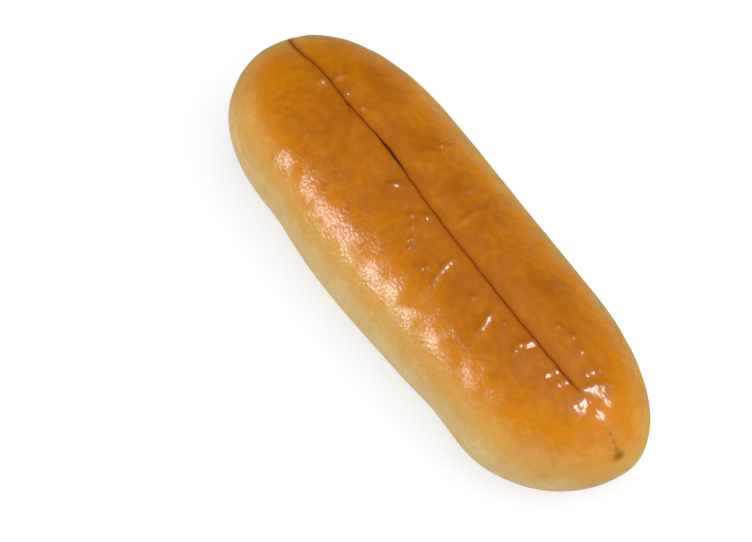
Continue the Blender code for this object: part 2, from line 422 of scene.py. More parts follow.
@dataclass(frozen=True)
class Cut:
    """The shut cut along the top, from near the far tip to a little short of the near one."""

    loaf: Loaf
    path: tuple[Place, ...] = (
        (-76.0, 2.0),
        (-74.5, 3.5),
        (-67.0, 2.2),
        (-56.0, 2.3),
        (-40.0, 1.6),
        (-24.0, 2.0),
        (-5.0, 0.5),
        (15.0, -0.3),
        (40.0, -0.8),
        (55.0, -0.5),
        (68.0, 0.6),
        (76.0, 0.9),
    )
    start: float = -75.3
    end: float = 71.0
    floor_level: float = 15.0
    rise_length: float = 16.0
    gaps: tuple[Place, ...] = (
        (-76.0, 0.06),
        (-58.0, 0.1),
        (-42.0, 0.08),
        (-30.0, 0.16),
        (-22.5, 0.75),
        (-15.0, 0.18),
        (-6.0, 0.09),
        (30.0, 0.09),
        (50.0, 0.06),
        (58.0, 0.04),
        (61.0, 0.02),
        (76.0, 0.02),
    )
    closed_from: float = 55.0
    closed_by: float = 61.0
    closed_share: float = 0.05
    floor_gap_share: float = 0.7
    fade_length: float = 3.0
    trough_depth: float = 0.8
    trough_reach: float = 4.5
    lip_rounding: float = 0.5
    lip_rounding_reach: float = 0.6
    proud_lip: float = 0.35
    proud_lip_reach: float = 1.6
    parting_reach: float = 1.0
    farthest_aside: float = 0.6
    raggedness: float = 0.12
    ragged_seed: int = 21
    ragged_length: float = 2.6
    wall_steps: tuple[float, ...] = (0.02, 0.05, 0.1, 0.18, 0.35, 0.65, 1.0)

    def is_open(self, x: Array) -> Array:
        """Whether the cut runs through the section at x."""
        return (x > self.start) & (x < self.end)

    def presence(self, x: Array) -> Array:
        """1 along the cut, falling to 0 at its ends."""
        before = np.clip((x - self.start) / self.fade_length, 0.0, 1.0)
        after = np.clip((self.end - x) / self.fade_length, 0.0, 1.0)
        return before * after

    def angle(self, x: Array) -> Array:
        """Angle from the top at which the loaf's surface meets the cut's path."""
        loaf = self.loaf
        aside = smooth_curve(x, self.path) - loaf.middle_line(x)
        sideways = np.clip(aside / loaf.half_width(x), -self.farthest_aside, self.farthest_aside)
        upward = (1.0 - np.abs(sideways) ** loaf.top_fullness) ** (1.0 / loaf.top_fullness)
        return np.arctan2(sideways * loaf.half_width(x), upward * loaf.rise(x))

    def mouth_gap(self, x: Array) -> Array:
        """Width of the cut between its lips at x: widest at one place, and narrower towards its ends."""
        return np.where(self.is_open(x), smooth_curve(x, self.gaps), 0.0)

    def depth(self, x: Array, lip_level: Array) -> Array:
        """Depth of the cut below its lips: down to a level floor that climbs to the crust at both ends.

        Args:
            x: places along the length.
            lip_level: height of the lip at each place.

        Returns:
            Depths in millimetres, a quarter circle's share near the ends.
        """
        rising = np.minimum((x - self.start) / self.rise_length, (self.end - x) / self.rise_length)
        share = np.sqrt(np.clip(1.0 - (1.0 - np.clip(rising, 0.0, 1.0)) ** 2, 0.0, 1.0))
        return np.maximum(lip_level - self.floor_level, 0.0) * share

    def part(self, points: Array, x: Array, side: Side) -> Array:
        """Sink the crust towards the cut and open its lips, on one side of it.

        Args:
            points: points of one side, its lip in the first column. They are changed in place.
            x: places of the rows.
            side: which side of the cut they are on.

        Returns:
            The same points: the top falls by a bell and a sharper rounding of the distance from the cut,
            less on the proud lip, and the lips move apart by half the gap.
        """
        loaf = self.loaf
        away = np.abs(points[..., 1] - points[:, :1, 1])
        on_top = np.clip((points[..., 2] - loaf.widest_level(x)) / loaf.rise(x), 0.0, 1.0)
        sink = self.trough_depth * np.exp(-((away / self.trough_reach) ** 2))
        sink += self.lip_rounding * np.exp(-away / self.lip_rounding_reach)
        if side is Side.PROUD_LIP:
            sink -= self.proud_lip * np.exp(-((away / self.proud_lip_reach) ** 2))
        sink *= 1.0 - (1.0 - self.closed_share) * ease(x, self.closed_from, self.closed_by)
        points[..., 2] -= sink * self.presence(x) * on_top
        points[..., 1] += side.value * self.mouth_gap(x) / 2 * np.exp(-away / self.parting_reach)
        return points

    def wall(self, x: Array, lip: Array, side: Side) -> Array:
        """Columns down one wall of the cut.

        Args:
            x: places of the rows, one each.
            lip: the lip's point at each row.
            side: which side of the cut the wall is on.

        Returns:
            Points from just below the lip to the edge of the narrow floor, the gap closing with depth.
        """
        depth = self.depth(x, lip[:, 2])
        columns = []
        for share in self.wall_steps:
            gap = self.mouth_gap(x) * (1.0 - (1.0 - self.floor_gap_share) * share)
            y = lip[:, 1] - side.value * (self.mouth_gap(x) - gap) / 2
            columns.append(np.stack((x, y, lip[:, 2] - depth * share), axis=-1))
        return np.stack(columns, axis=1)


@dataclass(frozen=True)
class CrustRelief:
    """All that departs from the plain loaf: swells, folds, blisters, tucks and the skin's unevenness."""

    swells: tuple[Patch, ...] = (
        Patch(-38.0, -95.0, 12.0, 14.0, -1.9),
        Patch(-6.0, -95.0, 15.0, 14.0, 0.5),
        Patch(31.0, -95.0, 9.0, 14.0, -0.9),
        Patch(50.0, -95.0, 9.0, 14.0, 1.15),
        Patch(69.0, -70.0, 10.0, 16.0, -1.1),
        Patch(73.0, -135.0, 9.0, 12.0, -1.1),
        Patch(-64.0, -80.0, 10.0, 14.0, 0.9),
        Patch(-20.0, 75.0, 18.0, 14.0, 0.3),
        Patch(74.7, -1.0, 1.2, 1.5, -0.6),
        Patch(61.8, -15.0, 2.6, 2.4, 0.22),
    )
    creases: tuple[Crease, ...] = (
        Crease(
            ((13.4, -1.6), (14.0, -6.4), (14.8, -9.5), (16.2, -11.9), (17.6, -13.4)), 0.85, 0.14, 0.52, 1.7
        ),
        Crease(((4.6, 12.6), (5.6, 8.6), (6.3, 5.6), (6.4, 1.6)), 0.8, 0.16, 0.38, 2.2, 0.1),
        Crease(((30.2, -2.2), (32.0, -6.4), (33.4, -10.0), (34.4, -12.6)), 1.0, 0.14, 0.62, 3.9, 0.15),
        Crease(((43.6, 0.2), (43.5, -2.2), (42.9, -5.2)), 0.95, 0.12, 0.47),
        Crease(((-42.2, 2.4), (-40.2, 1.0), (-37.4, -0.8)), 0.6, 0.5, 0.3),
        Crease(((52.3, 0.8), (52.7, -1.2), (52.0, -4.0), (52.4, -6.8)), 0.85, 0.1, 0.3, 2.6, 0.4),
        Crease(((56.8, 0.6), (55.9, -1.7), (55.6, -3.4), (55.2, -5.4)), 0.85, 0.06, 0.24, 2.2, 0.4),
        Crease(((58.4, 9.2), (57.9, 6.6), (57.3, 4.6), (57.0, 1.6)), 0.85, 0.1, 0.3, 1.9, 0.35),
        Crease(((64.2, 9.6), (62.8, 6.2), (61.4, 3.4), (60.7, 1.2), (60.6, -2.0)), 1.32, 0.0, 0.26, 2.4),
        Crease(((63.2, 1.4), (63.0, -1.6), (62.4, -6.4)), 1.45, 0.0, 0.28, 1.8),
    )
    blisters: tuple[Spot, ...] = (
        Spot(-1.4, -2.3, 1.0, 0.72),
        Spot(-13.8, -3.4, 0.9, 0.72, 2.0, 59.0),
        Spot(-4.0, -5.0, 0.85, 0.66),
        Spot(-1.2, -7.1, 0.8, 0.64),
        Spot(1.4, -8.9, 0.85, 0.7),
        Spot(3.2, -9.9, 0.75, 0.6),
        Spot(10.0, -10.5, 0.8, 0.66),
        Spot(-1.8, 10.9, 0.85, 0.68),
        Spot(-17.4, 14.1, 0.9, 0.8),
        Spot(-16.7, 16.4, 0.8, 0.66),
        Spot(23.8, -6.6, 0.8, 0.52),
        Spot(34.0, -4.5, 0.75, 0.42),
        Spot(41.0, -4.9, 0.75, 0.5),
        Spot(41.4, -6.8, 0.75, 0.48),
        Spot(42.3, 5.6, 0.85, 0.52),
        Spot(46.5, 7.3, 0.8, 0.4),
        Spot(50.8, 6.5, 0.85, 0.38),
        Spot(58.2, -3.6, 0.8, 0.2),
        Spot(-50.5, 0.0, 1.05, 1.15, 1.2, 60.0),
        Spot(-49.0, 4.6, 0.85, 0.78, 1.8, 80.0),
        Spot(-43.5, 3.0, 0.95, 0.74),
        Spot(-37.4, 3.4, 0.75, 0.62),
        Spot(2.9, 12.4, 0.75, -0.35, 4.0, -65.0),
        Spot(47.5, -5.5, 3.6, -0.4),
        Spot(64.2, 2.0, 1.9, -0.35),
    )
    tucks: tuple[Tuck, ...] = (
        Tuck(((-60.0, 23.4), (-54.4, 22.4), (-47.6, 20.9), (-41.8, 19.0), (-37.0, 15.0)), 0.7, 0.35, 0.3),
        Tuck(((42.0, 19.5), (48.1, 17.7), (51.3, 15.1), (56.3, 12.1), (61.0, 11.0)), 0.8, 0.3, 0.2),
    )
    lowest_crease: float = 20.0
    lump_seed: int = 11
    lump_size: float = 4.5
    lump_height: float = 0.14
    dimple_seed: int = 12
    dimple_size: float = 2.2
    dimple_height: float = 0.05
    calm_reach: float = 1.5
    side_calm: float = 0.3
    lively_levels: Span = (20.0, 32.0)

    def height(self, points: Array, loaf: Loaf, away_from_cut: Array) -> Array:
        """Height of the relief over the plain loaf.

        Args:
            points: points of the plain loaf.
            loaf: the loaf itself.
            away_from_cut: distance of each point from the cut, sideways.

        Returns:
            Heights in millimetres, the sum of all of it.
        """
        height = np.zeros(points.shape[:-1])
        for swell in self.swells:
            height += swell.read(points, loaf)
        for crease in self.creases:
            height += crease.lift(points, self.lowest_crease)
        for blister in self.blisters:
            height += blister.read(points) * (points[..., 2] > self.lowest_crease)
        for tuck in self.tucks:
            height += tuck.lift(points)
        lively = ease(away_from_cut, 0.0, self.calm_reach)
        lively *= self.side_calm + (1.0 - self.side_calm) * ease(points[..., 2], *self.lively_levels)
        height += self.lump_height * SkinNoise(self.lump_seed).read(points, self.lump_size) * lively
        height += self.dimple_height * SkinNoise(self.dimple_seed).read(points, self.dimple_size) * lively
        return height

    def raised_share(self, points: Array) -> Array:
        """How far points lie on a crease's fold or on a blister.

        Args:
            points: points of the skin.

        Returns:
            Shares from 0 to 1, each feature's lift over its own height.
        """
        share = np.zeros(points.shape[:-1])
        for crease in self.creases:
            share = np.maximum(share, crease.lift(points, self.lowest_crease) / crease.fold)
        for blister in self.blisters:
            if blister.value > 0:
                share = np.maximum(share, blister.read(points) / blister.value)
        return np.minimum(share, 1.0)


@dataclass(frozen=True)
class CrustMarks:
    """Where the crust's finish changes: shine in patches, darker brown spots, painted shade along the cut
    and at the pit, and stained spots.
    """

    shine_level: float = 0.5
    shine_seed: int = 31
    shine_patch: float = 4.0
    fine_shine_seed: int = 32
    fine_shine_share: float = 0.5
    shine_unevenness: float = 0.45
    flank_shine: float = 0.3
    shine_levels: Span = (18.0, 27.0)
    shine_spots: tuple[Spot, ...] = (
        Spot(0.0, -20.5, 4.5, -0.2, 11.0),
        Spot(-45.5, -19.7, 2.8, -1.2),
        Spot(-34.2, -18.6, 1.6, -0.7),
        Spot(60.0, 1.5, 9.0, -0.6, 1.3),
        Spot(-39.8, -18.8, 1.4, 0.9, 1.5, -10.0),
        Spot(-29.6, -18.0, 2.8, 0.7),
        Spot(-20.8, -19.4, 2.8, 0.8, 1.6, -9.0),
        Spot(-10.4, -19.6, 3.0, 0.7, 1.5, 15.0),
        Spot(-16.0, -17.6, 1.7, 0.5, 1.6),
        Spot(2.3, -20.9, 2.4, 0.8, 2.2),
        Spot(14.0, -21.2, 2.2, 0.7, 2.0),
        Spot(6.0, -17.4, 2.4, 0.5, 2.2),
        Spot(26.5, -19.6, 2.3, 0.6, 2.2),
        Spot(38.5, -18.8, 2.6, 0.2, 1.6),
        Spot(-11.0, -24.4, 0.9, 0.7),
        Spot(60.9, 3.6, 1.3, 1.5, 2.3, 57.0),
        Spot(64.5, 5.0, 1.2, 1.2),
        Spot(61.6, -2.6, 2.6, 1.5, 1.2, 90.0),
        Spot(6.0, 5.4, 1.8, -0.5, 2.5, -75.0),
        Spot(65.8, 0.9, 1.1, 1.2, 1.3, 40.0),
        Spot(64.2, -1.0, 1.2, -0.8, 1.6, 10.0),
        Spot(56.9, 5.2, 1.3, 1.2, 1.6, 57.0),
        Spot(55.1, -1.7, 1.3, 1.1, 1.3, 60.0),
        Spot(51.8, -2.6, 1.2, 1.0, 1.8, 90.0),
        Spot(59.2, -4.0, 1.1, 0.7, 1.4, 60.0),
        Spot(69.6, 2.3, 1.8, 0.7),
    )
    baked: tuple[Place, ...] = (
        (0.0, 0.0),
        (10.0, 0.03),
        (16.0, 0.07),
        (20.0, 0.14),
        (24.0, 0.23),
        (27.5, 0.38),
        (30.0, 0.51),
        (32.0, 0.61),
        (33.8, 0.76),
        (35.3, 0.83),
        (36.5, 0.87),
        (37.5, 0.9),
        (39.0, 0.93),
    )
    near_end_climb: float = 5.5
    near_end: Span = (44.0, 66.0)
    climb_levels: Span = (36.0, 20.0)
    far_end_pale: float = 0.06
    far_end: Span = (44.0, 66.0)
    pebbled_from: float = 9.0
    pebbled_by: float = 15.0
    smooth_share: float = 0.15
    ragged_spot: Spot = Spot(62.5, 1.5, 5.5, 0.4, 1.3)
    stains_and_pit_shade: tuple[Patch, ...] = (
        # the pit: partly really stained dark, partly painted shade of its hollow
        Patch(74.7, -1.0, 1.2, 1.4, 2.4),
        Patch(73.6, 0.0, 1.2, 0.7, 1.1),
        Patch(72.3, 0.9, 1.5, 0.6, 0.9),
        Patch(70.6, 1.4, 1.7, 0.5, 0.6),
        Patch(66.5, -83.0, 1.6, 1.8, 0.3),
        Patch(40.5, -72.0, 2.0, 2.4, 0.15),
    )
    browner_spots: tuple[Spot, ...] = (
        Spot(43.0, -7.5, 3.5, 0.3, 1.4),
        Spot(62.0, 13.0, 4.0, 0.3, 1.5),
        Spot(34.5, -5.0, 2.2, 0.3, 1.5, -60.0),
        Spot(20.0, -8.0, 4.0, 0.25, 2.0),
        Spot(3.4, 12.0, 1.0, 0.5, 3.0, -68.0),
        Spot(8.0, -1.6, 2.6, 0.4, 1.5),
        Spot(22.4, -6.2, 1.2, 0.4, 1.5, 90.0),
        Spot(-43.5, 0.5, 2.6, 0.35, 1.6, -20.0),
        Spot(-20.0, 8.0, 3.0, 0.25, 1.8),
    )
    # painted shade of the slit: a band of its red brown along both lips
    edge_share: float = 0.85
    edge_reach: float = 0.58
    edge_levels: Span = (20.0, 30.0)
    # painted shade: darker bands beside the cut, on both lips and wider on the pale side
    beside_cut: float = 0.5
    beside_cut_reach: float = 1.3
    pale_side_painted_shade: float = 0.1
    pale_side_reach: float = 5.5
    browner_levels: Span = (24.0, 34.0)

    def shine(self, points: Array, relief: CrustRelief, raised: Array) -> Array:
        """How strongly the crust shines, round its middle value of a half.

        Args:
            points: points of the skin.
            relief: the relief, which says how low the spots reach.
            raised: share of each point that a fold or a blister raises.

        Returns:
            The level plus noise, the spots and the raised share, less on the flanks; the finish makes a
            step of it.
        """
        broad = SkinNoise(self.shine_seed).read(points, self.shine_patch)
        fine = SkinNoise(self.fine_shine_seed).read(points, self.shine_patch / 2)
        spots = sum(spot.read(points) for spot in self.shine_spots)
        spots *= points[..., 2] > relief.lowest_crease
        uneven = self.shine_unevenness * (broad + self.fine_shine_share * fine)
        shine = self.shine_level + uneven + spots + raised
        upper = ease(points[..., 2], *self.shine_levels)
        return shine * (self.flank_shine + (1.0 - self.flank_shine) * upper)

    def pebbled(self, points: Array, lip: Array) -> Array:
        """How beaded the glaze is.

        Args:
            points: points of the skin.
            lip: the proud lip's point in each row.

        Returns:
            A small share beside the cut, more on the ragged spot, and 1 on the shoulders.
        """
        away = np.abs(points[..., 1] - lip[..., 1])
        beside = self.smooth_share + self.ragged_spot.read(points)
        return beside + (1.0 - beside) * ease(away, self.pebbled_from, self.pebbled_by)

    def stain_and_pit_shade(self, points: Array, loaf: Loaf) -> Array:
        """Share of the olive brown of stained spots; at the pit it is partly painted shade of its hollow."""
        return np.clip(sum(stain_and_pit_shade.read(points, loaf) for stain_and_pit_shade in self.stains_and_pit_shade), 0.0, 1.0)

    def browning(self, points: Array) -> Array:
        """How far the crust is baked, from 0 where it is straw to 1 where it is brown.

        Args:
            points: points of the skin.

        Returns:
            A curve of the height, which reaches lower down the near end and is paler at the far one.
        """
        x = points[..., 0]
        z = points[..., 2]
        level = z + self.near_end_climb * ease(x, *self.near_end) * ease(z, *self.climb_levels)
        return smooth_curve(level, self.baked) - self.far_end_pale * ease(-x, *self.far_end)

    def edge(self, points: Array, lip: Array) -> Array:
        """Share of the cut's red brown, painted shade of the slit, on the crust next to it: a narrow bell
        over both lips.
        """
        from_lip = (points[..., 1] - lip[..., 1]) / self.edge_reach
        return self.edge_share * np.exp(-(from_lip**2)) * ease(points[..., 2], *self.edge_levels)

    def browner_and_painted_shade(self, points: Array, lip: Array) -> Array:
        """Share of deeper brown, partly painted shade.

        Args:
            points: points of the skin.
            lip: the proud lip's point in each row.

        Returns:
            A narrow bell along both lips and a wider one on the pale side, both painted shade of the dip by
            the cut, and the spots, all on top only.
        """
        from_lip = points[..., 1] - lip[..., 1]
        share = self.beside_cut * np.exp(-((from_lip / self.beside_cut_reach) ** 2))
        share += self.pale_side_painted_shade * np.exp(-((from_lip / self.pale_side_reach) ** 2)) * (from_lip < 0)
        share += sum(spot.read(points) for spot in self.browner_spots)
        return np.clip(share, 0.0, 1.0) * ease(points[..., 2], *self.browner_levels)


@dataclass(frozen=True)
class Cloud:
    """A cloudy noise: its size in millimetres, its strength, its finer layers and what each one keeps."""

    size: float
    strength: float
    layers: float = 1.0
    kept: float = 0.5


@dataclass(frozen=True)
class CrustFinish:
    """Baked crust under egg glaze: straw at the flanks, golden orange above, deep brown by the cut that is
    partly painted shade, and the slit's painted shade in red brown.
    """

    straw: Colour = (0.56, 0.41, 0.19)
    golden: Colour = (0.53, 0.27, 0.05)
    orange: Colour = (0.46, 0.15, 0.001)
    brown: Colour = (0.31, 0.085, 0.001)
    crumb: Colour = (0.72, 0.55, 0.30)
    # painted shade: crust darkened to red brown where the narrow cut lies in shade
    painted_cut_shade: Colour = (0.28, 0.062, 0.001)
    base_brown: Colour = (0.42, 0.22, 0.07)
    olive: Colour = (0.25, 0.1, 0.003)
    golden_level: float = 0.35
    orange_level: float = 0.7
    mottle: Cloud = Cloud(9.0, 0.3, 3.0, 0.55)
    fleck: Cloud = Cloud(2.0, 0.32, 4.0, 0.65)
    bare_roughness: float = 0.5
    bare_specular: float = 0.08
    glaze_roughness: float = 0.18
    pebbled_roughness: float = 0.1
    glaze_specular: float = 0.45
    film_weight: float = 0.5
    film_roughness: float = 0.38
    fuzz_weight: float = 0.1
    fuzz_roughness: float = 0.4
    fuzz_tint: Colour = (1.0, 0.74, 0.2)
    bead_size: float = 0.95
    bead_height: float = 0.135
    bead_roundness: float = 0.35
    pebble: Cloud = Cloud(0.8, 0.045)
    grain: Cloud = Cloud(0.45, 0.014, 2.0)
    ragged_shine: float = 0.6
    shine_step: Span = (0.2, 1.0)

    def dress(self, piece: bpy.types.Object) -> None:
        """Give a piece this finish.

        Args:
            piece: the bun, with the attributes that the crust reads.
        """
        bench = ShaderBench(bpy.data.materials.new("crust"))
        crumb = bench.attribute("crumb")
        base = bench.attribute("base")
        place = bench.object_place()

        level = bench.attribute("browning")
        for cloud in (self.mottle, self.fleck):
            level = level + (bench.noise(place, cloud) - NOISE_MIDDLE) * cloud.strength
        stops = (
            (0.0, self.straw),
            (self.golden_level, self.golden),
            (self.orange_level, self.orange),
            (1.0, self.brown),
        )
        colour = bench.ramp(level, stops)
        # darker brown spots, and painted shade beside the cut
        colour = bench.mix(bench.attribute("browner_and_painted_shade"), colour, self.brown)
        # olive brown stained spots; at the pit partly painted shade of its hollow
        colour = bench.mix(bench.attribute("stain_and_pit_shade"), colour, self.olive)
        # painted shade of the slit: its walls and a band along both lips take the darkened red brown
        colour = bench.mix(bench.attribute("slit_crust_and_shade"), colour, self.painted_cut_shade)
        colour = bench.mix(base, colour, self.base_brown)
        colour = bench.mix(crumb, colour, self.crumb)

        beads = bench.beads(place, self.bead_size, self.bead_roundness) * (self.bead_height * MILLIMETRE)
        uneven = bench.noise(place, self.pebble)
        pebble = uneven * (self.pebble.strength * MILLIMETRE)
        grain = bench.noise(place, self.grain) * (self.grain.strength * MILLIMETRE)
        pebbled = bench.attribute("pebbled")
        shared = {
            "Base Color": colour,
            "Normal": bench.bump((pebble - beads) * pebbled + grain),
            "Sheen Weight": self.fuzz_weight,
            "Sheen Roughness": self.fuzz_roughness,
            "Sheen Tint": self.fuzz_tint,
        }
        bare = {"Roughness": self.bare_roughness, "Specular IOR Level": self.bare_specular}
        glazed = {
            "Roughness": pebbled * self.pebbled_roughness + self.glaze_roughness,
            "Specular IOR Level": self.glaze_specular,
            "Coat Weight": bench.attribute("film") * self.film_weight,
            "Coat Roughness": self.film_roughness,
        }

        ragged = (uneven - NOISE_MIDDLE) * self.ragged_shine
        shine = bench.rise(bench.attribute("shine") + ragged, self.shine_step) * (1.0 - crumb) * (1.0 - base)
        bench.finish(bench.blend(shine, bench.principled(shared | bare), bench.principled(shared | glazed)))
        piece.data.materials.append(bench.owner)


class Socket:
    """A value in a shader, on which ordinary sums add the Math nodes that work them out."""

    def __init__(self, bench: "ShaderBench", end: bpy.types.NodeSocket | None) -> None:
        """Wrap one output of a node.

        Args:
            bench: the bench that the node stands on.
            end: the node's output, or None where it has none.
        """
        self.bench = bench
        self.end = end

    def _sum(self, operation: str, first: "Socket | float", second: "Socket | float") -> "Socket":
        """Add a Math node for one operation on two values.

        Args:
            operation: the Math node's operation.
            first: its first value.
            second: its second value.

        Returns:
            The node's result.
        """
        return self.bench.node("ShaderNodeMath", {"operation": operation}, {0: first, 1: second})

    def __add__(self, other: "Socket | float") -> "Socket":
        """This value plus another."""
        return self._sum("ADD", self, other)

    def __radd__(self, other: float) -> "Socket":
        """A number plus this value."""
        return self._sum("ADD", other, self)

    def __sub__(self, other: "Socket | float") -> "Socket":
        """This value less another."""
        return self._sum("SUBTRACT", self, other)

    def __rsub__(self, other: float) -> "Socket":
        """A number less this value."""
        return self._sum("SUBTRACT", other, self)

    def __mul__(self, other: "Socket | float") -> "Socket":
        """This value times another."""
        return self._sum("MULTIPLY", self, other)

    def __rmul__(self, other: float) -> "Socket":
        """A number times this value."""
        return self._sum("MULTIPLY", other, self)


class ShaderBench:
    """The nodes of one material or of the world, and the few ways in which they are added."""

    def __init__(self, owner: bpy.types.Material | bpy.types.World) -> None:
        """Clear the owner's nodes.

        Args:
            owner: a new material, or the world.
        """
        owner.use_nodes = True
        self.owner = owner
        self.tree = owner.node_tree
        self.tree.nodes.clear()

    def node(
        self,
        kind: str,
        settings: Mapping[str, object],
        sockets: Mapping[str | int, "Socket | float | Colour"],
        output: str | int | None = 0,
    ) -> Socket:
        """Add a node, set it up and fill its sockets.

        Args:
            kind: the node's type.
            settings: its own properties, set before its sockets; stops are the colours along a ramp.
            sockets: a value or a link for each named or numbered input.
            output: the output to return, or None for a node that has none.

        Returns:
            That output.
        """
        made = self.tree.nodes.new(kind)
        for name, value in settings.items():
            if name == "stops":
                self.fill_ramp(made.color_ramp, value)
            else:
                setattr(made, name, value)
        for key, value in sockets.items():
            if isinstance(value, Socket):
                self.tree.links.new(value.end, made.inputs[key])
            elif made.inputs[key].type == "RGBA":
                made.inputs[key].default_value = (*value, 1.0)
            else:
                made.inputs[key].default_value = value
        return Socket(self, None if output is None else made.outputs[output])

    def fill_ramp(self, ramp: bpy.types.ColorRamp, stops: tuple[tuple[float, Colour], ...]) -> None:
        """Set the colours along a ramp.

        Args:
            ramp: a new ramp, which has two stops.
            stops: a colour at each of two or more values.
        """
        ramp.interpolation = "EASE"
        while len(ramp.elements) < len(stops):
            ramp.elements.new(0.5)
        for element, (place, colour) in zip(ramp.elements, stops):
            element.position = place
            element.color = (*colour, 1.0)

    def attribute(self, name: str) -> Socket:
        """Read one of the mesh's own values."""
        return self.node("ShaderNodeAttribute", {"attribute_name": name}, {}, "Fac")

    def object_place(self) -> Socket:
        """The point's place on the piece, in metres."""
        return self.node("ShaderNodeTexCoord", {}, {}, "Object")

    def noise(self, place: Socket, cloud: Cloud) -> Socket:
        """Cloudy noise.

        Args:
            place: the place to read it at.
            cloud: its size and layers; its strength is left to the caller.

        Returns:
            The noise's value, from 0 to 1.
        """
        scale = 1.0 / (cloud.size * MILLIMETRE)
        sockets = {"Vector": place, "Scale": scale, "Detail": cloud.layers, "Roughness": cloud.kept}
        return self.node("ShaderNodeTexNoise", {"noise_dimensions": "3D"}, sockets, "Fac")

    def ramp(self, value: Socket, stops: tuple[tuple[float, Colour], ...]) -> Socket:
        """The colour between the two stops nearest to a value."""
        return self.node("ShaderNodeValToRGB", {"stops": stops}, {"Fac": value}, "Color")

    def beads(self, place: Socket, size: float, roundness: float) -> Socket:
        """Squared distance from the middles of small rounded cells, in cells.

        Args:
            place: the place to read it at.
            size: the cells' size in millimetres.
            roundness: how softly neighbouring cells meet.

        Returns:
            0 at a bead's middle, rising to about a half between beads.
        """
        sockets = {"Vector": place, "Scale": 1.0 / (size * MILLIMETRE), "Smoothness": roundness}
        away = self.node("ShaderNodeTexVoronoi", {"feature": "SMOOTH_F1"}, sockets, "Distance")
        return away * away

    def rise(self, value: Socket, span: Span) -> Socket:
        """0 below the span, 1 above it and a smooth step between."""
        sockets = {"Value": value, "From Min": span[0], "From Max": span[1]}
        return self.node("ShaderNodeMapRange", {"interpolation_type": "SMOOTHSTEP"}, sockets)

    def blend(self, share: Socket, first: Socket, second: Socket) -> Socket:
        """Two surfaces blended, with the second one's share."""
        return self.node("ShaderNodeMixShader", {}, {0: share, 1: first, 2: second})

    def mix(self, share: Socket | float, first: Socket | Colour, second: Socket | Colour) -> Socket:
        """Blend two colours.

        Args:
            share: share of the second one.
            first: the colour at share 0.
            second: the colour at share 1.

        Returns:
            The blended colour.
        """
        sockets = {MIX_SHARE: share, MIX_FIRST_COLOUR: first, MIX_SECOND_COLOUR: second}
        return self.node("ShaderNodeMix", {"data_type": "RGBA"}, sockets, MIXED_COLOUR)

    def bump(self, height: Socket) -> Socket:
        """Turn a height in metres into a normal."""
        sockets = {"Strength": 1.0, "Distance": 1.0, "Height": height}
        return self.node("ShaderNodeBump", {}, sockets, "Normal")

    def principled(self, sockets: Mapping[str | int, "Socket | float | Colour"]) -> Socket:
        """Add the surface shader with these inputs."""
        return self.node("ShaderNodeBsdfPrincipled", {}, sockets, "BSDF")

    def finish(self, surface: Socket) -> None:
        """Make a shader the material's surface."""
        self.node("ShaderNodeOutputMaterial", {}, {"Surface": surface}, None)


